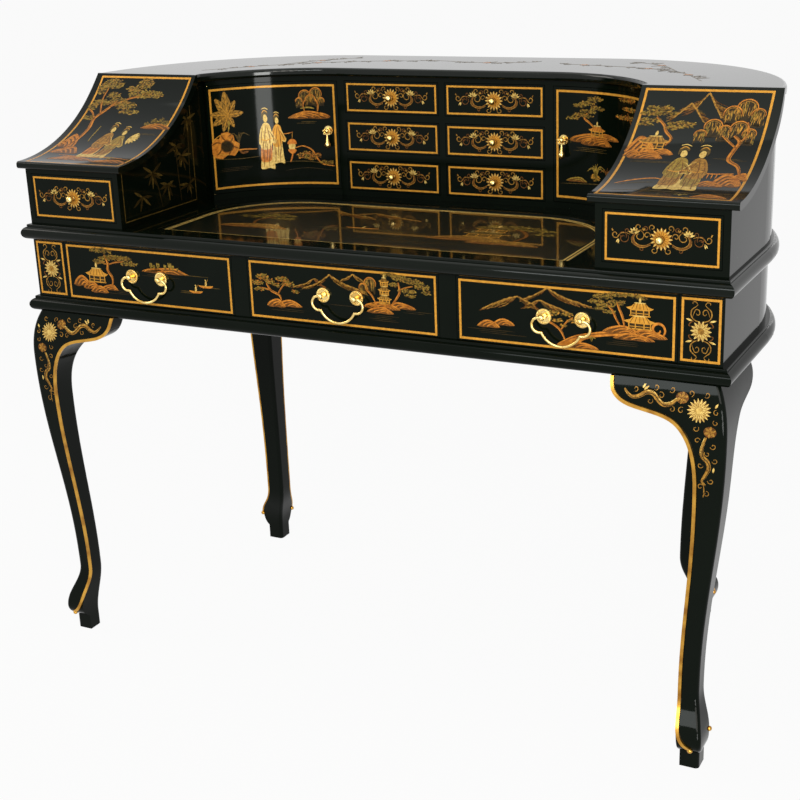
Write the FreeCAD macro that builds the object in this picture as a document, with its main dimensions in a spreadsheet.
import FreeCAD, Part
import math
import operator
import os
from types import SimpleNamespace

import Sketcher

# Writing desk with a D-shaped plan, a U-shaped gallery of small drawers and curved doors, and two
# scooped wings, on cabriole legs. Millimetres, +Z up, +Y to the back, origin on the floor under the
# centre of the mouldings. Every piece is drawn with y = 0 on the face of the frieze and then moved back.

Vector = FreeCAD.Vector

SIZES = {
    # case and mouldings
    "case_half_width": 592.5,
    "case_depth": 559,
    "side_overhang": 15,
    "front_overhang": 13,
    "base_thick": 25,
    "frieze_height": 99,
    "deck_thick": 25,
    "nose_round": 10.4,
    "step_thick": 4,
    "step_back": 8,
    "step_round": 1.5,
    "case_wall": 14,
    # legs
    "leg_height": 600,
    "leg_block": 57,
    "block_drop": 58,
    "knee_out": 15.5,
    "knee_drop": 75,
    "throat_in": 28.6,
    "throat_drop": 150,
    "ankle_in": 16,
    "ankle_set": 1.5,
    "ankle_height": 120,
    "ankle_thick": 30,
    "toe_in": 2.5,
    "toe_out": 28,
    "foot_height": 50,
    "pad_size": 29,
    "pad_in": 23.5,
    "pad_set": 4.5,
    "pad_height": 27,
    "leg_round": 6,
    "front_leg_inset": 2,
    "front_leg_out": 6,
    "rear_ankle_in": 9,
    "rear_toe_out": 20,
    "rear_pad_in": 4,
    "rear_leg_inset": 140.5,
    "rear_leg_forward": 79,
    "tenon_radius": 15,
    "bracket_length": 98,
    "bracket_tip": 14,
    "bracket_slant": 2,
    "bracket_thick": 30,
    "bead_width": 5,
    "bead_height": 3,
    "bead_bend": 75,
    "bead_end_in": 16,
    "bead_end_height": 38,
    "bead_side_end": 54,
    "bead_set_back": 1.5,
    "bead_ball": 4,
    # frieze drawers
    "post_width": 63.5,
    "post_depth": 45,
    "divider_width": 27.5,
    "frieze_back_gap": 38.6,
    "frieze_front_thick": 16,
    "frieze_side_thick": 9,
    "box_drop": 15,
    "drawer_bottom_thick": 5,
    "bottom_rise": 3,
    "reveal": 0.8,
    "slide_gap": 0.6,
    "runner_thick": 2,
    "runner_width": 14,
    # bail handles
    "bail_post_spacing": 58,
    "bail_reach": 11,
    "bail_wire": 2.1,
    "bail_neck_out": 4,
    "bail_neck": 11,
    "bail_drop": 40,
    "rosette_radius": 11.5,
    "rosette_thick": 3,
    "bail_post_radius": 3,
    "bail_ball_radius": 4.5,
    "pivot_gap": 0.05,
    # writing panel
    "panel_side_gap": 48.4,
    "panel_front": 33,
    "panel_back_gap": 54.4,
    "panel_corner": 155,
    "panel_thick": 5,
    "panel_sink": 3,
    # gallery
    "gallery_height": 209,
    "gallery_swell": 3,
    "gallery_wall": 12,
    "gallery_top_thick": 14,
    "top_overhang": 9.5,
    "eave_overhang": 12,
    "top_edge": 5,
    "partition_thick": 14,
    "centre_stile": 11,
    "shelf_thick": 12,
    "gallery_floor": 9,
    "gallery_ceiling": 8,
    "small_back_gap": 12.6,
    "small_front_thick": 10,
    "small_side_thick": 6,
    # curved doors
    "door_start": 6,
    "door_thick": 14,
    "door_sill": 10,
    "door_head": 9,
    "door_gap": 0.8,
    "hinge_inset": 6.2,
    "hinge_depth": 4,
    "hinge_end": 4,
    "pin_radius": 2,
    "pin_length": 16,
    "pull_offset": 26,
    "pull_height": 114,
    "rose_radius": 8,
    "rose_thick": 2,
    "pull_reach": 9,
    "pull_post_radius": 2.2,
    "pull_ball_radius": 4,
    "pull_pin_radius": 1.2,
    "pull_pin_length": 16,
    "cheek_radius": 3,
    "cheek_thick": 1.6,
    "drop_length": 30,
    "drop_radius": 5.5,
    "neck_radius": 5,
    # wings
    "wing_front": 4,
    "wing_wall": 10,
    "wing_wall_gap": 3.4,
    "wing_rail": 10,
    "wing_top_rail": 8,
    "wing_rail_depth": 18,
    "wing_back_gap": 20.8,
    "wing_front_thick": 12,
    "wing_back_thick": 8,
    "lid_front": 7,
    "lid_lip": 105,
    "lid_setback": 30.6,
    "lid_thick": 12,
    # ball knobs
    "knob_radius": 4.8,
    "knob_stem_radius": 2.2,
    "knob_reach": 16,
    "knob_flange_radius": 4.4,
    "knob_flange_thick": 1.2,
}

# Proportions: where the bays divide the width and the depth, and how wide the bends are
SHARES = {
    "corner_share": 0.644,
    "gallery_share": 0.67335,
    "wing_share": 0.6859,
    "partition_share": 0.31561,
    "middle_share": 0.28186,
    "door_bend": 1.1696,
}

OPERATIONS = {"+": operator.add, "-": operator.sub, "*": operator.mul, "/": operator.truediv}
TOLERANCE = 1e-6
STAVES = 4
QUARTER_TURN = 90
HALF_TURN = 180
SIDES = {"left": -1, "right": 1}


class Size:
    """A length in mm, or an angle in degrees, with the sheet expression that gives it."""

    def __init__(self, value, text):
        self.value = value
        self.text = text

    def __add__(self, other):
        return combine(self, "+", other)

    def __radd__(self, other):
        return combine(other, "+", self)

    def __sub__(self, other):
        return combine(self, "-", other)

    def __rsub__(self, other):
        return combine(other, "-", self)

    def __mul__(self, other):
        return combine(self, "*", other)

    def __rmul__(self, other):
        return combine(other, "*", self)

    def __truediv__(self, other):
        return combine(self, "/", other)

    def __neg__(self):
        return combine(0, "-", self)


def as_size(value):
    """Give a plain number the form of a Size."""
    if isinstance(value, Size):
        return value
    return Size(float(value), f"({value})")


def combine(first, sign, second):
    """Join two sizes with one operation, in value and in expression."""
    first = as_size(first)
    second = as_size(second)
    value = OPERATIONS[sign](first.value, second.value)
    return Size(value, f"({first.text} {sign} {second.text})")


def root(size):
    """Square root of a size."""
    return Size(math.sqrt(size.value), f"sqrt({size.text})")


def arcsine(size):
    """Angle in degrees whose sine is the size."""
    return Size(math.degrees(math.asin(size.value)), f"(asin({size.text}) / 1deg)")


def leg_of_triangle(hypotenuse, side):
    """The other short side of a right triangle."""
    return root(hypotenuse * hypotenuse - side * side)


def make_sheet(document):
    """Put every driving size in the sheet under its own name."""
    sheet = document.addObject("Spreadsheet::Sheet", "Sizes")
    values = SIZES | SHARES
    for row, (name, value) in enumerate(values.items(), start=1):
        sheet.set(f"A{row}", name)
        sheet.set(f"B{row}", str(value))
        sheet.setAlias(f"B{row}", name)
    document.recompute()
    return SimpleNamespace(**{name: Size(sheet.get(name), f"Sizes.{name}") for name in values})


doc = FreeCAD.newDocument("WritingDesk")
size = make_sheet(doc)
nodes = {}

# Levels and outlines that several pieces share
toe_reach = size.front_leg_out + size.toe_out + size.bead_height
front_shift = -(size.case_depth + size.side_overhang - toe_reach) / 2
frieze_floor = size.leg_height + size.base_thick
deck_floor = frieze_floor + size.frieze_height
deck_top = deck_floor + size.deck_thick
gallery_roof = deck_top + size.gallery_height
corner_radius = size.case_depth * size.corner_share
corner_x = size.case_half_width - corner_radius
corner_y = size.case_depth - corner_radius

# Frieze drawers: the side drawers end short of the bent rear corners
middle_half_width = size.case_half_width * size.middle_share
divider_outer = middle_half_width + size.divider_width
post_inner = size.case_half_width - size.post_width
wall_at_drawer = corner_y + leg_of_triangle(corner_radius - size.case_wall, post_inner - corner_x)
frieze_drawer_end = wall_at_drawer - size.frieze_back_gap

# Bays of the gallery
gallery_face = size.case_depth * size.gallery_share
gallery_half_width = size.case_half_width + size.gallery_swell
gallery_back = size.case_depth + size.gallery_swell
partition_inner = size.case_half_width * size.partition_share
stile_outer = partition_inner + size.partition_thick
wing_inner = size.case_half_width * size.wing_share
wing_inside = wing_inner + size.wing_wall
wing_outer = gallery_half_width - size.wing_wall

# Curved doors: their bend starts just inside the stile and ends at the hinge
door_centre_x = stile_outer - size.door_start
hinge_x = wing_inner - size.hinge_inset
door_radius = (hinge_x - door_centre_x) * size.door_bend
door_centre_y = gallery_face - door_radius
hinge_y = door_centre_y + leg_of_triangle(door_radius + size.hinge_depth, hinge_x - door_centre_x)

# Scooped lids: one round from the lip in front to the roof behind
lid_front_y = size.wing_front - size.lid_front
lid_end_y = hinge_y - size.lid_setback
lip_bottom = deck_top + size.lid_lip - size.lid_thick
lid_run = lid_end_y - lid_front_y
lid_rise = gallery_roof - lip_bottom
lid_under_radius = (lid_run * lid_run + lid_rise * lid_rise) / (2 * lid_rise)
lid_radius = lid_under_radius - size.lid_thick
lid_centre_z = lip_bottom + lid_under_radius


def bind(thing, path, value):
    """Tie one property of an object to the sheet."""
    thing.setExpression(path, as_size(value).text)


def place(thing, x=0, y=0, z=0):
    """Tie an object's position to the sheet."""
    bind(thing, "Placement.Base.x", x)
    bind(thing, "Placement.Base.y", y)
    bind(thing, "Placement.Base.z", z)


def keep(name, thing, x=0, y=0, z=0):
    """Make an object one of the desk's nodes and move it to the desk's own frame."""
    thing.Label = name
    place(thing, x, y + front_shift, z)
    nodes[name] = thing
    return thing


def span(side, near, far):
    """Range of x for a piece between two distances from the middle, on one side."""
    return (near, far) if side > 0 else (-far, -near)


def board(name, x_range, y_range, z_range):
    """Rectangular board between pairs of coordinates."""
    box = doc.addObject("Part::Box", name)
    for path, (low, high) in zip(("Length", "Width", "Height"), (x_range, y_range, z_range)):
        bind(box, path, high - low)
    place(box, x_range[0], y_range[0], z_range[0])
    return box


AXES = {
    "up": FreeCAD.Rotation(),
    "out": FreeCAD.Rotation(Vector(1, 0, 0), 90),
    "across": FreeCAD.Rotation(Vector(0, 1, 0), 90),
}


def rod(name, radius, length, axis, x=0, y=0, z=0):
    """Round rod that starts at a point and runs up, out to the front or across to the right."""
    cylinder = doc.addObject("Part::Cylinder", name)
    bind(cylinder, "Radius", radius)
    bind(cylinder, "Height", length)
    cylinder.Placement = FreeCAD.Placement(Vector(), AXES[axis])
    place(cylinder, x, y, z)
    return cylinder


def ball(name, radius, x=0, y=0, z=0):
    """Round ball about a point."""
    sphere = doc.addObject("Part::Sphere", name)
    bind(sphere, "Radius", radius)
    place(sphere, x, y, z)
    return sphere


def fused(name, shapes):
    """One solid made of several shapes."""
    union = doc.addObject("Part::MultiFuse", name)
    union.Shapes = shapes
    return union


def group(name, shapes):
    """Several separate solids kept as one object."""
    compound = doc.addObject("Part::Compound", name)
    compound.Links = shapes
    return compound


def cut(name, base, tool):
    """A shape with another taken out of it."""
    difference = doc.addObject("Part::Cut", name)
    difference.Base = base
    difference.Tool = tool
    return difference


def ring_sector(name, centre, radii, angles, z_range):
    """Upright curved board between two radii and two angles, which are counted from +X."""
    bottom, top = z_range
    outer = rod(f"{name}_outer", radii[1], top - bottom, "up", centre[0], centre[1], bottom)
    bind(outer, "Angle", angles[1] - angles[0])
    outer.setExpression("Placement.Rotation.Angle", as_size(angles[0]).text)
    inner = rod(f"{name}_inner", radii[0], top - bottom, "up", centre[0], centre[1], bottom)
    return cut(name, outer, inner)


def corner(u, v, bend=None, turn=1):
    """Start of a line, or of an arc with a bend radius that turns left (1) or right (-1), in an outline."""
    return SimpleNamespace(u=as_size(u), v=as_size(v), bend=bend, turn=turn)


def edge_between(start, end):
    """Line or arc from one corner of an outline to the next."""
    first = Vector(start.u.value, start.v.value, 0)
    last = Vector(end.u.value, end.v.value, 0)
    if start.bend is None:
        return Part.LineSegment(first, last)
    chord = last - first
    rise = math.sqrt(start.bend.value ** 2 - (chord.Length / 2) ** 2)
    left = Vector(-chord.y, chord.x, 0).normalize()
    centre = (first + last) * 0.5 + left * (rise * start.turn)
    ends = (first, last) if start.turn > 0 else (last, first)
    angles = [math.atan2(point.y - centre.y, point.x - centre.x) for point in ends]
    return Part.ArcOfCircle(Part.Circle(centre, Vector(0, 0, 1), start.bend.value), *angles)


def draw(body, name, plane, outline):
    """Sketch a closed outline on one of a body's planes, with each corner tied to the sheet."""
    sketch = body.newObject("Sketcher::SketchObject", name)
    sketch.AttachmentSupport = [(next(o for o in body.Origin.OriginFeatures if o.Role == plane), "")]
    sketch.MapMode = "FlatFace"
    following = outline[1:] + outline[:1]
    for start, end in zip(outline, following):
        sketch.addGeometry(edge_between(start, end), False)
    first_point = [1 if start.bend is None or start.turn > 0 else 2 for start in outline]
    for index, start in enumerate(outline):
        after = (index + 1) % len(outline)
        sketch.addConstraint(
            Sketcher.Constraint("Coincident", index, 3 - first_point[index], after, first_point[after])
        )
        for kind, value in (("DistanceX", start.u), ("DistanceY", start.v)):
            number = sketch.addConstraint(
                Sketcher.Constraint(kind, -1, 1, index, first_point[index], value.value)
            )
            sketch.setExpression(f"Constraints[{number}]", value.text)
        if start.bend is not None:
            number = sketch.addConstraint(Sketcher.Constraint("Radius", index, start.bend.value))
            sketch.setExpression(f"Constraints[{number}]", start.bend.text)
    return sketch


def padded(name, plane, outline, length):
    """Body padded from one outline: up from the floor plan, or to the right from a side view."""
    body = doc.addObject("PartDesign::Body", name)
    return raised(body, "pad", plane, outline, as_size(0), length)


def raised(body, label, plane, outline, level, length):
    """Pad an outline onto a body from a level up."""
    sketch = draw(body, f"{body.Name}_{label}_outline", plane, outline)
    bind(sketch, "AttachmentOffset.Base.z", level)
    pad = body.newObject("PartDesign::Pad", f"{body.Name}_{label}")
    pad.Profile = sketch
    bind(pad, "Length", length)
    doc.recompute()
    return body


def pocketed(body, outline, level, depth):
    """Cut a pocket down into a body from a level."""
    sketch = draw(body, f"{body.Name}_recess", "XY_Plane", outline)
    bind(sketch, "AttachmentOffset.Base.z", level)
    pocket = body.newObject("PartDesign::Pocket", f"{body.Name}_pocket")
    pocket.Profile = sketch
    bind(pocket, "Length", depth)
    doc.recompute()
    return body


def rounded(body, label, radius, chosen):
    """Round the edges of a body that a test picks."""
    base = body.Tip
    names = [f"Edge{index}" for index, edge in enumerate(base.Shape.Edges, start=1) if chosen(edge)]
    fillet = body.newObject("PartDesign::Fillet", f"{body.Name}_{label}")
    fillet.Base = (base, names)
    bind(fillet, "Radius", radius)
    doc.recompute()
    return body


def level_edge(edge):
    """Whether an edge lies flat."""
    return edge.BoundBox.ZLength < TOLERANCE


def plan(overhang, front):
    """D-shaped plan of the desk, grown by an overhang at the sides and back."""
    half = size.case_half_width + overhang
    back = size.case_depth + overhang
    bend = corner_radius + overhang
    return [
        corner(-half, front),
        corner(half, front),
        corner(half, corner_y, bend),
        corner(corner_x, back),
        corner(-corner_x, back, bend),
        corner(-half, corner_y),
    ]


def curve(points):
    """Smooth curve through points that each have a direction."""
    spline = Part.BSplineCurve()
    places = [Vector(*place_) for place_, _ in points]
    directions = [Vector(*way) for _, way in points]
    spline.interpolate(Points=places, Tangents=directions, TangentFlags=[True] * len(points))
    return spline.toShape()


def shifted(points, distance):
    """The same points moved sideways, to the right of their direction."""
    moved = []
    for (u, w, z), (du, dw, dz) in points:
        length = math.hypot(du, dz)
        moved.append(((u + distance * dz / length, w, z - distance * du / length), (du, dw, dz)))
    return moved


def strip(first, second):
    """Flat face between two curves whose ends are joined by lines."""
    starts = [edge.valueAt(edge.FirstParameter) for edge in (first, second)]
    ends = [edge.valueAt(edge.LastParameter) for edge in (first, second)]
    edges = [first, Part.makeLine(ends[0], ends[1]), second, Part.makeLine(starts[0], starts[1])]
    return Part.Face(Part.Wire(Part.__sortEdges__(edges)))


def swap_faces(shape):
    """Mirror a shape about the leg's diagonal, from its front face to its side face."""
    return shape.mirror(Vector(), Vector(1, -1, 0))


# The leg is drawn in its own corner: u and w run inwards from its side and its front, z up from the floor.
leg_top = size.leg_height.value
knee_z = leg_top - size.knee_drop.value
block_z = leg_top - size.block_drop.value
throat_z = leg_top - size.throat_drop.value
bracket_end = size.leg_block.value + size.bracket_length.value
BLANK = 2 * bracket_end
FACE_POINTS = 600
FIT = 1
BEAD_LENGTHS = 12
BALL_AXIS = Vector(1, 0, 0.4)

# Directions of the leg's lines at their points
UP = (0, 0, 1)
DOWN = (0, 0, -1)
FOOT_LEAN = (-1, 0, 0.8)
KNEE_LEAN = (0.55, 0, 1)
THROAT_LEAN = (-1, 0, -0.85)
EAR_START = (-0.05, 0, -1)
EAR_LEAN = (-0.25, 0, -1)
EAR_SWEEP = (-1, 0, -0.25)
TOE_LEAN = (-1, 0, -0.4)


def leg_pattern(ankle, toe, pad):
    """Lines of the leg in one view: its outer and inner outline, its ear and the bead's hook on the foot."""
    pad_outer = pad - size.pad_size.value / 2
    ankle_inner = ankle + size.ankle_thick.value
    outer = [
        ((pad_outer, 0, size.pad_height.value), FOOT_LEAN),
        ((toe, 0, size.foot_height.value), UP),
        ((ankle, 0, size.ankle_height.value), UP),
        ((-size.knee_out.value, 0, knee_z), UP),
        ((0, 0, leg_top), KNEE_LEAN),
    ]
    inner = [
        ((size.leg_block.value, 0, block_z), THROAT_LEAN),
        ((size.throat_in.value, 0, throat_z), DOWN),
        ((ankle_inner, 0, size.ankle_height.value), DOWN),
        ((pad_outer + size.pad_size.value, 0, size.pad_height.value), DOWN),
    ]
    ear_low = block_z + size.block_drop.value / 3
    ear = [
        ((bracket_end, 0, leg_top), EAR_START),
        ((bracket_end - size.bracket_slant.value, 0, leg_top - size.bracket_tip.value), EAR_LEAN),
        ((bracket_end - size.bracket_length.value / 3, 0, ear_low), EAR_SWEEP),
    ]
    hook = [
        point_on(inner, size.bead_bend.value),
        ((toe + size.bead_end_in.value, 0, size.bead_end_height.value), TOE_LEAN),
    ]
    return SimpleNamespace(outer=outer, inner=inner, ear=ear, hook=hook)


def point_on(line, height):
    """Point of one of the leg's lines at a height, with the line's direction there."""
    points = curve(line).discretize(Number=FACE_POINTS)
    nearest = min(range(1, FACE_POINTS - 1), key=lambda count: abs(points[count].z - height))
    return tuple(points[nearest]), tuple(points[nearest + 1] - points[nearest - 1])


FRONT_VIEW = leg_pattern(size.ankle_in.value, size.toe_in.value, size.pad_in.value)
SIDE_VIEW = leg_pattern(size.ankle_set.value, -size.toe_out.value, size.pad_set.value)
REAR_VIEW = leg_pattern(size.rear_ankle_in.value, -size.rear_toe_out.value, size.rear_pad_in.value)


def sawn(outline_face, depth_face):
    """Piece sawn to one pattern from the front and to another from the side."""
    blank_edge = Vector(0, -BLANK / 2, 0)
    from_front = outline_face.translated(blank_edge).extrude(Vector(0, BLANK, 0))
    from_side = depth_face.translated(blank_edge).extrude(Vector(0, BLANK, 0))
    return from_front.common(swap_faces(from_side)).Solids[0]


def leg_face(view):
    """Whole outline of the leg in one view."""
    foot_outer = view.outer[0][0]
    foot_inner = view.inner[-1][0]
    block_inner = view.inner[0][0]
    sole = [Vector(foot_inner[0], 0, 0), Vector(foot_outer[0], 0, 0)]
    pad = [Vector(*foot_inner), *sole, Vector(*foot_outer)]
    block = [Vector(0, 0, leg_top), Vector(block_inner[0], 0, leg_top), Vector(*block_inner)]
    sides = [Part.makePolygon(pad), curve(view.outer), Part.makePolygon(block), curve(view.inner)]
    return Part.Face(Part.Wire(Part.__sortEdges__([edge for side in sides for edge in side.Edges])))


def leg_shape(front, side):
    """Cabriole leg: a pattern sawn on each of two faces, two corners rounded, with a tenon on top."""
    middle = size.leg_block.value / 2
    tenon = Part.makeCylinder(
        size.tenon_radius.value, size.base_thick.value, Vector(middle, middle, leg_top)
    )
    leg = sawn(leg_face(front), leg_face(side))
    corners = arrises(leg, front, side)
    return leg.makeFillet(size.leg_round.value, corners).fuse(tenon).removeSplitter().Solids[0]


def arrises(leg, front, side):
    """Upright edges of the leg's outer and inner corners, where the lines of both views meet."""
    edges = []
    for edge in leg.Edges:
        middle = edge.valueAt((edge.FirstParameter + edge.LastParameter) / 2)
        for front_line, side_line in ((front.outer, side.outer), (front.inner, side.inner)):
            height = max(middle.z, size.pad_height.value)
            off_front = abs(middle.x - depth_at(front_line, height))
            off_side = abs(middle.y - depth_at(side_line, height))
            if max(off_front, off_side) < FIT and edge.BoundBox.ZLength > FIT:
                edges.append(edge)
    return edges


def depth_at(line, height):
    """How far in one of the leg's lines lies at a height."""
    points = curve(line).discretize(Number=FACE_POINTS)
    return min(points, key=lambda point: abs(point.z - height)).x


def bracket_shape(view, across):
    """Knee bracket beside the leg's block in one view, with the knee's swell along its face."""
    line = view.ear + view.inner[:1]
    top = [Vector(*line[0][0]), Vector(size.leg_block.value, 0, leg_top), Vector(*line[-1][0])]
    edges = Part.makePolygon(top).Edges + [curve(line)]
    outline = Part.Face(Part.Wire(Part.__sortEdges__(edges)))
    face_line = across.outer[2:]
    return sawn(outline, strip(curve(face_line), curve(moved_in(face_line, size.bracket_thick.value))))


def moved_in(points, distance):
    """The same points moved inwards from the leg's outer face."""
    return [((u + distance, w, z), way) for (u, w, z), way in points]


def bead_shape(view, across, kind, with_ear):
    """Bead along the inner edge of the leg in one view, which ends in a ball on the foot."""
    ear = view.ear if with_ear else []
    line = ear + (view.inner[:-1] + view.hook if kind == "hooked" else view.inner)
    end_place = view.hook[-1] if kind == "hooked" else point_on(view.inner, size.bead_side_end.value)
    (end_in, _, end_height), _ = end_place
    end_depth = depth_at(across.outer, end_height)
    if kind == "tucked":
        back = size.bead_set_back.value
        across_lines = [moved_in(across.outer, back), moved_in(across.outer, back + size.bead_width.value)]
        bead_line = shifted(line, -size.bead_height.value)
        centre = Vector(end_in, end_depth, end_height)
    else:
        across_lines = [moved_in(across.outer, -size.bead_height.value), across.outer]
        bead_line = shifted(line, size.bead_width.value)
        centre = Vector(end_in, end_depth - size.bead_height.value / 2, end_height)
    depth = strip(*(curve(points) for points in across_lines))
    bead = sawn(strip(curve(line), curve(bead_line)), depth)
    ball_end = Part.makeSphere(size.bead_ball.value, centre, BALL_AXIS)
    ball_end.rotate(centre, BALL_AXIS, QUARTER_TURN)
    button = ball_end.cut(sawn(leg_face(view), leg_face(across)))
    return button.multiFuse(sawn_to_lengths(bead, end_height)).Solids[0]


def sawn_to_lengths(bead, low):
    """The bead above a height in short lengths, because a long thin bent face isn't measured truly."""
    box = bead.BoundBox
    step = (box.ZMax - low) / BEAD_LENGTHS
    corners = [Vector(box.XMin, box.YMin, low + count * step) for count in range(BEAD_LENGTHS)]
    return [bead.common(Part.makeBox(box.XLength, box.YLength, step, place)) for place in corners]


FRONT_LEG = (size.case_half_width - size.front_leg_inset, -size.front_leg_out)
REAR_LEG = (size.case_half_width - size.rear_leg_inset, size.case_depth - size.rear_leg_forward)
LEGS = {
    "leg_front_left": (-1, -1, *FRONT_LEG),
    "leg_front_right": (1, -1, *FRONT_LEG),
    "leg_rear_left": (-1, 1, *REAR_LEG),
    "leg_rear_right": (1, 1, *REAR_LEG),
}


def turned(shape, side, end):
    """Leg piece drawn for the front left corner, mirrored for another corner."""
    if end > 0:
        shape = shape.mirror(Vector(), Vector(0, 1, 0))
    if side > 0:
        shape = shape.mirror(Vector(), Vector(1, 0, 0))
    return shape


def feature(name, shape):
    """Object that holds a shape drawn from the sheet's values."""
    thing = doc.addObject("Part::Feature", name)
    thing.Shape = shape
    return thing


def leg_pieces(front, side, bead_kinds, with_ears):
    """A leg's beads, and its brackets if it has ears, for both of its faces."""
    faces = [(front, side), (side, front)]
    beads = [bead_shape(*pair, kind, with_ears) for pair, kind in zip(faces, bead_kinds)]
    brackets = [bracket_shape(*pair) for pair in faces] if with_ears else []
    return [[shapes[0], swap_faces(shapes[1])] if shapes else [] for shapes in (beads, brackets)]


def build_legs():
    """Four legs, the ears of the front pair and the beads of all four."""
    views = {-1: (FRONT_VIEW, SIDE_VIEW), 1: (REAR_VIEW, REAR_VIEW)}
    bead_kinds = {-1: ("hooked", "tucked"), 1: ("plain", "plain")}
    legs = {end: leg_shape(*pair) for end, pair in views.items()}
    pieces = {end: leg_pieces(*pair, bead_kinds[end], end < 0) for end, pair in views.items()}
    beads = []
    brackets = []
    for name, (side, end, x, y) in LEGS.items():
        keep(name, feature(name, turned(legs[end], side, end)), side * x, y)
        corner_place = Vector((side * x).value, y.value, 0)
        for shapes, collection in zip(pieces[end], (beads, brackets)):
            collection += [turned(shape, side, end).translated(corner_place) for shape in shapes]
    keep("knee_brackets", feature("knee_brackets", Part.makeCompound(brackets)))
    keep("leg_beads", feature("leg_beads", Part.makeCompound(beads)))


def moulded(name, thick):
    """Board with a half-round nose all round and a thin step set back on top of it."""
    nose = thick - size.step_thick
    body = padded(name, "XY_Plane", plan(size.side_overhang, -size.front_overhang), nose)
    rounded(body, "nose", size.nose_round, level_edge)
    step = plan(size.side_overhang - size.step_back, size.step_back - size.front_overhang)
    raised(body, "step", "XY_Plane", step, nose, size.step_thick)

    def top_edge(edge):
        return level_edge(edge) and edge.BoundBox.ZMin > thick.value - TOLERANCE

    return rounded(body, "step_edge", size.step_round, top_edge)


def build_base():
    """Base board with its moulded edge and a hole for each leg's tenon."""
    body = moulded("base_board", size.base_thick)
    holes = []
    middle = size.leg_block / 2
    for name, (side, end, x, y) in LEGS.items():
        centre = (side * (x - middle), y - end * middle)
        holes.append(rod(f"{name}_hole", size.tenon_radius, size.base_thick, "up", *centre))
    keep("base_board", cut("base_board_drilled", body, group("tenon_holes", holes)), z=size.leg_height)


def staved_corner(name, side, radii, z_range, start):
    """Bent rear corner of a wall, coopered from equal staves from an angle on to the back."""
    centre = (side * corner_x, corner_y)
    step = (QUARTER_TURN - start) / STAVES
    staves = []
    for index in range(STAVES):
        low = start + step * index
        high = low + step
        angles = (low, high) if side > 0 else (2 * QUARTER_TURN - high, 2 * QUARTER_TURN - low)
        staves.append(ring_sector(f"{name}_stave_{index}", centre, radii, angles, z_range))
    return staves


def build_frieze():
    """Walls, corner posts, drawer dividers and runners of the frieze."""
    levels = (frieze_floor, deck_floor)
    back = (size.case_depth - size.case_wall, size.case_depth)
    walls = [board("frieze_back", (-corner_x, corner_x), back, levels)]
    posts = []
    dividers = []
    runners = []
    tracks = (frieze_floor, frieze_floor + size.runner_thick)
    track_depth = (size.frieze_front_thick + size.reveal, frieze_drawer_end)
    bend = (corner_radius - size.case_wall, corner_radius)
    for name, side in SIDES.items():
        flank = span(side, size.case_half_width - size.case_wall, size.case_half_width)
        walls.append(board(f"frieze_{name}", flank, (size.post_depth, corner_y), levels))
        walls += staved_corner(f"frieze_{name}", side, bend, levels, as_size(0))
        post = span(side, post_inner, size.case_half_width)
        posts.append(board(f"post_{name}", post, (as_size(0), size.post_depth), levels))
        divider = span(side, middle_half_width, divider_outer)
        dividers.append(board(f"divider_{name}", divider, (as_size(0), frieze_drawer_end), levels))
        places = (middle_half_width - size.runner_width, divider_outer, post_inner - size.runner_width)
        for index, near in enumerate(places):
            track = span(side, near, near + size.runner_width)
            runners.append(board(f"runner_{name}_{index}", track, track_depth, tracks))
    keep("frieze_walls", group("frieze_wall_group", walls))
    keep("corner_posts", group("corner_post_group", posts))
    keep("drawer_dividers", group("divider_group", dividers))
    keep("drawer_runners", group("runner_group", runners))


def drawer_boards(name, x_range, y_range, front_z, box_z, thickness):
    """Front and box boards of a drawer: front, two sides, back and bottom."""
    front_thick, side_thick = thickness
    front_back = y_range[0] + front_thick
    low, high = (x_range[0] + size.slide_gap, x_range[1] - size.slide_gap)
    back = y_range[1]
    floor = box_z[0] + size.bottom_rise
    inside = (low + side_thick, high - side_thick)
    front = board(f"{name}_front", x_range, (y_range[0], front_back), front_z)
    box = [
        board(f"{name}_left_side", (low, inside[0]), (front_back, back), box_z),
        board(f"{name}_right_side", (inside[1], high), (front_back, back), box_z),
        board(f"{name}_back", inside, (back - side_thick, back), box_z),
        board(
            f"{name}_bottom",
            inside,
            (front_back, back - side_thick),
            (floor, floor + size.drawer_bottom_thick),
        ),
    ]
    return front, box


def frieze_drawer_ranges():
    """Where each frieze drawer's front lies from side to side."""
    near = divider_outer + size.reveal
    far = post_inner - size.reveal
    inner = middle_half_width - size.reveal
    return {
        "left_drawer": span(-1, near, far),
        "middle_drawer": (-inner, inner),
        "right_drawer": span(1, near, far),
    }


def build_bail(name, x, z):
    """Pair of posts with rosettes and the swan-necked bail that hangs between them."""
    half = size.bail_post_spacing / 2
    axis_y = -size.bail_reach
    reach = size.bail_reach - size.rosette_thick
    hole = size.bail_wire + size.pivot_gap
    posts = []
    for end, side in SIDES.items():
        prefix = f"{name}_{end}"
        rosette = rod(f"{prefix}_rosette", size.rosette_radius, size.rosette_thick, "out", side * half)
        stem = rod(f"{prefix}_stem", size.bail_post_radius, reach, "out", side * half, -size.rosette_thick)
        knuckle = ball(f"{prefix}_knuckle", size.bail_ball_radius, side * half, axis_y)
        bore_start = side * half - size.bail_ball_radius
        bore = rod(f"{prefix}_bore", hole, 2 * size.bail_ball_radius, "across", bore_start, axis_y)
        posts.append(cut(f"{prefix}_post", fused(f"{prefix}_solid", [rosette, stem, knuckle]), bore))
    bail = fused(f"{name}_bail_wire", bail_wires(name, half))
    bail.Placement = FreeCAD.Placement(Vector(), AXES["out"])
    keep(f"{name}_posts", group(f"{name}_post_pair", posts), x, 0, z)
    keep(f"{name}_bail", bail, x, axis_y, z)


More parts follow.
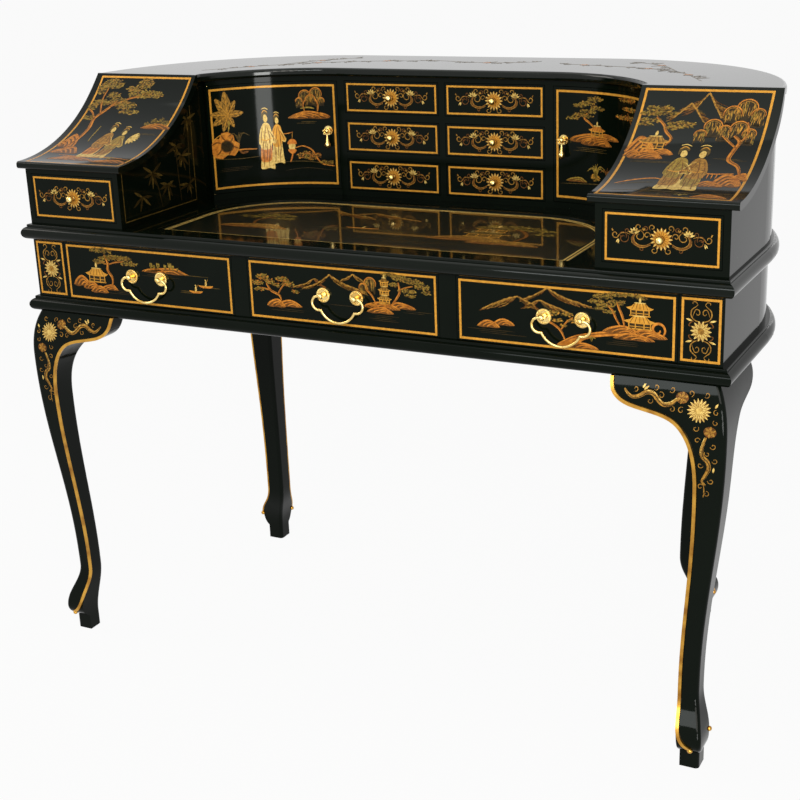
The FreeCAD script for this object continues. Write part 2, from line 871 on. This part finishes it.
def bail_wires(name, half):
    """Wires of a bail, drawn flat with its height along y: pivots, C-shaped necks and one long bow."""
    neck_x = half + size.bail_neck_out
    neck_foot = -2 * size.bail_neck
    inner_end = half - size.bail_ball_radius
    wires = []
    for end, side in SIDES.items():
        prefix = f"{name}_{end}"
        pivot = span(side, inner_end, neck_x)
        foot = span(side, half, neck_x)
        first_angle = -QUARTER_TURN * side
        neck_place = (side * neck_x, -size.bail_neck)
        neck = wire_arc(f"{prefix}_neck", size.bail_neck, *neck_place, first_angle, HALF_TURN)
        wires += [
            neck,
            rod(f"{prefix}_pivot", size.bail_wire, pivot[1] - pivot[0], "across", pivot[0]),
            rod(f"{prefix}_foot", size.bail_wire, foot[1] - foot[0], "across", foot[0], neck_foot),
            ball(f"{prefix}_cusp", size.bail_wire, side * half, neck_foot),
        ]
    sag = size.bail_drop + neck_foot
    bow = (half * half + sag * sag) / (2 * sag)
    half_angle = arcsine(half / bow)
    lowest = 3 * QUARTER_TURN
    wires.append(
        wire_arc(f"{name}_bow", bow, as_size(0), bow - size.bail_drop, lowest - half_angle, 2 * half_angle)
    )
    return wires


def wire_arc(name, bend, x, y, first_angle, sweep):
    """Arc of the bail's wire about a point, from an angle counted from +X."""
    torus = doc.addObject("Part::Torus", name)
    bind(torus, "Radius1", bend)
    bind(torus, "Radius2", size.bail_wire)
    bind(torus, "Angle3", sweep)
    bind(torus, "Placement.Rotation.Angle", first_angle)
    place(torus, x, y)
    return torus


def build_frieze_drawers():
    """Three frieze drawers with their bail handles."""
    front_z = (frieze_floor + size.reveal, deck_floor - size.reveal)
    bottom = frieze_floor + size.runner_thick
    box_z = (bottom, deck_floor - size.box_drop)
    depth = (as_size(0), frieze_drawer_end)
    thickness = (size.frieze_front_thick, size.frieze_side_thick)
    for name, x_range in frieze_drawer_ranges().items():
        front, box = drawer_boards(name, x_range, depth, front_z, box_z, thickness)
        keep(f"{name}_front", group(f"{name}_front_piece", [front]))
        keep(f"{name}_box", group(f"{name}_box_boards", box))
        build_bail(name, (x_range[0] + x_range[1]) / 2, frieze_floor + size.frieze_height / 2)


def panel_outline():
    """Writing panel: square front corners and wide round rear corners."""
    half = wing_inner - size.panel_side_gap
    back = gallery_face - size.panel_back_gap
    bend_x = half - size.panel_corner
    bend_y = back - size.panel_corner
    return [
        corner(-half, size.panel_front),
        corner(half, size.panel_front),
        corner(half, bend_y, size.panel_corner),
        corner(bend_x, back),
        corner(-bend_x, back, size.panel_corner),
        corner(-half, bend_y),
    ]


def build_deck():
    """Writing deck with its moulded edge and the panel set into it."""
    body = moulded("writing_deck", size.deck_thick)
    pocketed(body, panel_outline(), size.deck_thick, size.panel_thick + size.panel_sink)
    keep("writing_deck", body, z=deck_floor)
    panel = padded("writing_panel", "XY_Plane", panel_outline(), size.panel_thick)
    keep("writing_panel", panel, z=deck_top - size.panel_sink - size.panel_thick)


def lid_under_z(y):
    """Height of the lid's underside at a distance from the front."""
    return lid_centre_z - leg_of_triangle(lid_under_radius, y - lid_front_y)


def bent_to_plan(thing, overhang):
    """A piece with its outer side trimmed to the desk's plan, grown by an overhang."""
    name = thing.Name
    height = gallery_roof + size.gallery_height
    prism = padded(f"{name}_plan", "XY_Plane", plan(overhang, lid_front_y), height)
    trimmed = doc.addObject("Part::Common", f"{name}_trimmed")
    trimmed.Base = thing
    trimmed.Tool = prism
    return trimmed


def wing_drawer_end():
    """Where the wings' drawers end, short of their back boards."""
    return lid_end_y - size.wing_back_thick - size.wing_back_gap


def build_wings():
    """Outer and inner walls, rails, runners and back boards of the two wings."""
    inner_walls = []
    outer_walls = []
    rails = []
    rail_top = deck_top + size.wing_rail
    lip_z = lid_under_z(size.wing_front)
    rail_back = size.wing_front + size.wing_rail_depth
    for name, side in SIDES.items():
        outline = [
            corner(size.wing_front, deck_top),
            corner(lid_end_y, deck_top),
            corner(lid_end_y, gallery_roof, lid_under_radius, -1),
            corner(size.wing_front, lip_z),
        ]
        outer = padded(f"wing_outer_{name}", "YZ_Plane", outline, size.wing_wall)
        place(outer, span(side, wing_outer, gallery_half_width)[0])
        outer_walls.append(bent_to_plan(outer, size.gallery_swell))
        longer = [
            outline[0],
            corner(hinge_y - size.wing_wall_gap, deck_top),
            corner(hinge_y - size.wing_wall_gap, gallery_roof),
            outline[2],
            outline[3],
        ]
        inner = padded(f"wing_inner_{name}", "YZ_Plane", longer, size.wing_wall)
        place(inner, span(side, wing_inner, wing_inside)[0])
        inner_walls.append(inner)
        across = span(side, wing_inside, wing_outer)
        front = (size.wing_front, rail_back)
        rails.append(board(f"wing_rail_{name}", across, front, (deck_top, rail_top)))
        top_rail = (lip_z - size.wing_top_rail, lip_z)
        rails.append(board(f"wing_top_rail_{name}", across, front, top_rail))
        for index, near in enumerate((wing_inside, wing_outer - size.runner_width)):
            track = span(side, near, near + size.runner_width)
            depth = (rail_back, wing_drawer_end())
            rails.append(board(f"wing_runner_{name}_{index}", track, depth, (deck_top, rail_top)))
        depth = (lid_end_y - size.wing_back_thick, lid_end_y)
        top = lid_under_z(lid_end_y - size.wing_back_thick)
        rails.append(board(f"wing_back_{name}", across, depth, (deck_top, top)))
    keep("wing_outer_walls", group("wing_outer_group", outer_walls))
    keep("wing_inner_walls", group("wing_inner_group", inner_walls))
    keep("wing_rails", group("wing_rail_group", rails))


def build_lids():
    """Scooped lids of the wings, bent to a quarter of a wide round."""
    top_z = gallery_roof + size.gallery_top_thick
    top_y = lid_front_y + leg_of_triangle(lid_radius, lid_centre_z - top_z)
    overhang = size.gallery_swell + size.eave_overhang
    near = wing_inner - size.top_overhang
    far = size.case_half_width + overhang
    lip_top = lip_bottom + size.lid_thick

    def lip_edge(edge):
        at_front = edge.BoundBox.YMax < lid_front_y.value + TOLERANCE
        return at_front and edge.BoundBox.XLength > TOLERANCE

    for name, side in SIDES.items():
        outline = [
            corner(lid_front_y, lip_bottom, lid_under_radius),
            corner(lid_end_y, gallery_roof),
            corner(lid_end_y, top_z),
            corner(top_y, top_z, lid_radius, -1),
            corner(lid_front_y, lip_top),
        ]
        body = padded(f"{name}_lid_board", "YZ_Plane", outline, far - near)
        rounded(body, "lip", size.top_edge, lip_edge)
        place(body, span(side, near, far)[0])
        keep(f"{name}_lid", bent_to_plan(body, overhang))


def build_gallery():
    """Back wall, partitions, shelves and top board of the gallery."""
    levels = (deck_top, gallery_roof)
    back_face = gallery_back - size.gallery_wall
    depth = (gallery_face, back_face)
    walls = [board("gallery_back", (-corner_x, corner_x), (back_face, gallery_back), levels)]
    bend = corner_radius + size.gallery_swell
    radii = (bend - size.gallery_wall, bend)
    first_angle = arcsine((lid_end_y - corner_y) / radii[0])
    half_stile = size.centre_stile / 2
    partitions = [board("centre_partition", (-half_stile, half_stile), depth, levels)]
    shelves = []
    for name, side in SIDES.items():
        walls += staved_corner(f"gallery_{name}", side, radii, levels, first_angle)
        partition = span(side, partition_inner, stile_outer)
        partitions.append(board(f"partition_{name}", partition, depth, levels))
        across = span(side, half_stile, partition_inner)
        for index, shelf_levels in enumerate(shelf_ranges()):
            shelves.append(board(f"shelf_{name}_{index}", across, depth, shelf_levels))
    keep("gallery_walls", group("gallery_wall_group", walls))
    keep("gallery_partitions", group("partition_group", partitions))
    keep("gallery_shelves", group("shelf_group", shelves))
    build_gallery_top()


def row_height():
    """Clear height of one row of small drawers."""
    clear = size.gallery_height - size.gallery_floor - size.gallery_ceiling - 2 * size.shelf_thick
    return clear / 3


def shelf_ranges():
    """Heights of the gallery's floor, two shelves and ceiling."""
    floor = deck_top + size.gallery_floor
    pitch = row_height() + size.shelf_thick
    middle = [floor + pitch * row - size.shelf_thick for row in (1, 2)]
    shelves = [(low, low + size.shelf_thick) for low in middle]
    return [(deck_top, floor)] + shelves + [(gallery_roof - size.gallery_ceiling, gallery_roof)]


def build_gallery_top():
    """U-shaped top board that follows the doors in front and the D-shaped plan behind."""
    overhang = size.top_overhang
    bend = corner_radius + size.gallery_swell + size.eave_overhang
    back = gallery_back + size.eave_overhang
    end_x = corner_x + leg_of_triangle(bend, lid_end_y - corner_y)
    inner_x = wing_inner - overhang
    inner_bend = door_radius - overhang
    inner_y = door_centre_y + leg_of_triangle(inner_bend, inner_x - door_centre_x)
    outline = [
        corner(-end_x, lid_end_y),
        corner(-inner_x, lid_end_y),
        corner(-inner_x, inner_y, inner_bend, -1),
        corner(-door_centre_x, gallery_face - overhang),
        corner(door_centre_x, gallery_face - overhang, inner_bend, -1),
        corner(inner_x, inner_y),
        corner(inner_x, lid_end_y),
        corner(end_x, lid_end_y, bend),
        corner(corner_x, back),
        corner(-corner_x, back, bend),
    ]
    body = padded("gallery_top", "XY_Plane", outline, size.gallery_top_thick)

    def free_edge(edge):
        return level_edge(edge) and edge.BoundBox.YMax > lid_end_y.value + TOLERANCE

    rounded(body, "edge", size.top_edge, free_edge)
    keep("gallery_top", body, z=gallery_roof)


def build_knob(name, x, y, z):
    """Turned ball knob on a stem with a small flange."""
    flange = rod(f"{name}_flange", size.knob_flange_radius, size.knob_flange_thick, "out")
    stem = rod(f"{name}_stem", size.knob_stem_radius, size.knob_reach, "out")
    head = ball(f"{name}_head", size.knob_radius, 0, -size.knob_reach)
    keep(name, fused(f"{name}_turning", [flange, stem, head]), x, y, z)


def build_small_drawer(name, x_range, y_range, levels, thickness):
    """Small drawer with its knob, in an opening of given levels."""
    front_z = (levels[0] + size.reveal, levels[1] - size.reveal)
    box_z = (levels[0], levels[1] - size.box_drop)
    front_x = (x_range[0] + size.reveal, x_range[1] - size.reveal)
    front, box = drawer_boards(name, front_x, y_range, front_z, box_z, thickness)
    keep(name, group(f"{name}_boards", [front] + box))
    middle_x = (x_range[0] + x_range[1]) / 2
    build_knob(f"{name}_knob", middle_x, y_range[0], (levels[0] + levels[1]) / 2)


def build_small_drawers():
    """Six gallery drawers in three rows and one drawer in each wing."""
    shelves = shelf_ranges()
    rows = {"lower": 0, "centre": 1, "upper": 2}
    depth = (gallery_face, gallery_back - size.gallery_wall - size.small_back_gap)
    thickness = (size.small_front_thick, size.small_side_thick)
    wing_depth = (size.wing_front, wing_drawer_end())
    wing_levels = (deck_top + size.wing_rail, lid_under_z(size.wing_front) - size.wing_top_rail)
    wing_thickness = (size.wing_front_thick, size.small_side_thick)
    for name, side in SIDES.items():
        across = span(side, size.centre_stile / 2, partition_inner)
        for row, index in rows.items():
            levels = (shelves[index][1], shelves[index + 1][0])
            build_small_drawer(f"{row}_{name}_drawer", across, depth, levels, thickness)
        across = span(side, wing_inside, wing_outer)
        build_small_drawer(f"wing_{name}_drawer", across, wing_depth, wing_levels, wing_thickness)


def door_angles(side, near_gap):
    """First and last angle of a door or its rails, from the stile to just past the hinge."""
    near = arcsine((stile_outer + near_gap - door_centre_x) / door_radius)
    hinge = arcsine((hinge_x - door_centre_x) / (door_radius + size.hinge_depth))
    far = hinge + arcsine(size.hinge_end / (door_radius + size.hinge_depth))
    if side > 0:
        return QUARTER_TURN - far, QUARTER_TURN - near
    return QUARTER_TURN + near, QUARTER_TURN + far


def build_doors():
    """Curved doors on hinge pins, with the sill and head that hold the pins, and the drop pulls."""
    radii = (door_radius, door_radius + size.door_thick)
    sill_top = deck_top + size.door_sill
    head_bottom = gallery_roof - size.door_head
    rails = []
    pins = []
    hole = size.pin_radius + size.pivot_gap
    low_pin = sill_top - size.pin_length / 2
    high_pin = head_bottom - size.pin_length / 2
    for name, side in SIDES.items():
        centre = (side * door_centre_x, door_centre_y)
        angles = door_angles(side, as_size(0))
        pair = (("sill", (deck_top, sill_top), low_pin), ("head", (head_bottom, gallery_roof), high_pin))
        bores = []
        for kind, levels, pin_z in pair:
            label = f"door_{kind}_{name}"
            rail = ring_sector(f"{label}_arc", centre, radii, angles, levels)
            foot = (side * hinge_x, hinge_y, pin_z)
            seat = rod(f"{label}_seat", size.pin_radius, size.pin_length, "up", *foot)
            rails.append(cut(label, rail, seat))
            pins.append(rod(f"{label}_pin", size.pin_radius, size.pin_length, "up", *foot))
            bores.append(rod(f"{label}_bore", hole, size.pin_length, "up", *foot))
        levels = (sill_top + size.door_gap, head_bottom - size.door_gap)
        leaf = ring_sector(f"{name}_door_leaf", centre, radii, door_angles(side, size.door_gap), levels)
        keep(f"{name}_door", cut(f"{name}_door_bored", leaf, group(f"{name}_door_bores", bores)))
        build_pull(name, side)
    keep("door_rails", group("door_rail_group", rails))
    keep("door_pins", group("door_pin_group", pins))


def build_pull(name, side):
    """Drop pull: a rose with a ball and cross pin, and a drop that swings on the pin."""
    angle = arcsine(size.pull_offset / door_radius)
    sagitta = door_radius - leg_of_triangle(door_radius, size.rose_radius)
    x = side * (door_centre_x + size.pull_offset)
    seat_y = door_centre_y + leg_of_triangle(door_radius, size.pull_offset) - 2 * sagitta
    z = deck_top + size.pull_height
    half_pin = size.pull_pin_length / 2
    bore = size.pull_pin_radius + size.pivot_gap
    cheek_x = size.pull_ball_radius + size.slide_gap
    pin_place = (-half_pin, -size.pull_reach)
    rose = fused(f"{name}_rose_solid", [
        rod(f"{name}_rose_disc", size.rose_radius, size.rose_thick, "out"),
        rod(f"{name}_rose_post", size.pull_post_radius, size.pull_reach, "out"),
        ball(f"{name}_rose_ball", size.pull_ball_radius, 0, -size.pull_reach),
        rod(f"{name}_rose_pin", size.pull_pin_radius, size.pull_pin_length, "across", *pin_place),
    ])
    bridge_top = -(size.pull_ball_radius + size.slide_gap)
    bridge_low = bridge_top - size.cheek_thick
    cheeks = []
    for end, way in SIDES.items():
        reach = span(way, cheek_x, cheek_x + size.cheek_thick)
        cheeks.append(rod(f"{name}_{end}_cheek", size.cheek_radius, size.cheek_thick, "across", reach[0]))
        depth = (-size.pull_pin_radius - size.cheek_thick / 2, size.pull_pin_radius + size.cheek_thick / 2)
        cheeks.append(board(f"{name}_{end}_arm", reach, depth, (bridge_low, as_size(0))))
    arm = cheek_x + size.cheek_thick
    cheeks.append(board(f"{name}_bridge", (-arm, arm), depth, (bridge_low, bridge_top)))
    neck = doc.addObject("Part::Cone", f"{name}_neck")
    bind(neck, "Radius1", size.neck_radius)
    bind(neck, "Radius2", size.pull_pin_radius)
    bind(neck, "Height", size.drop_length - size.drop_radius + bridge_low)
    place(neck, 0, 0, size.drop_radius - size.drop_length)
    cheeks.append(neck)
    cheeks.append(ball(f"{name}_tear", size.drop_radius, 0, 0, size.drop_radius - size.drop_length))
    pin_hole = rod(f"{name}_drop_bore", bore, size.pull_pin_length, "across", -half_pin)
    drop = cut(f"{name}_drop_solid", fused(f"{name}_drop_blank", cheeks), pin_hole)
    swing = -side * angle
    for label, thing in ((f"{name}_pull_rose", rose), (f"{name}_pull_drop", drop)):
        thing.setExpression("Placement.Rotation.Angle", swing.text)
        keep(label, thing, x, seat_y, z)
    reach_x = x - side * size.pull_reach * size.pull_offset / door_radius
    reach_y = seat_y - size.pull_reach * leg_of_triangle(door_radius, size.pull_offset) / door_radius
    place(drop, reach_x, reach_y + front_shift, z)


def check_and_write():
    """Stop on any failed object or bad shape, then write one file for each node."""
    doc.recompute()
    failed = [thing.Name for thing in doc.Objects if {"Invalid", "Error"} & set(thing.State)]
    if failed:
        raise RuntimeError(f"failed objects: {failed}")
    for name, thing in nodes.items():
        if thing.Shape.isNull() or not thing.Shape.isValid():
            raise RuntimeError(f"bad shape: {name}")
    os.makedirs("parts", exist_ok=True)
    for name, thing in nodes.items():
        thing.Shape.exportStep(f"parts/{name}.step")


build_legs()
build_base()
build_frieze()
build_frieze_drawers()
build_deck()
build_wings()
build_lids()
build_gallery()
build_small_drawers()
build_doors()
check_and_write()
print(len(nodes), "nodes")
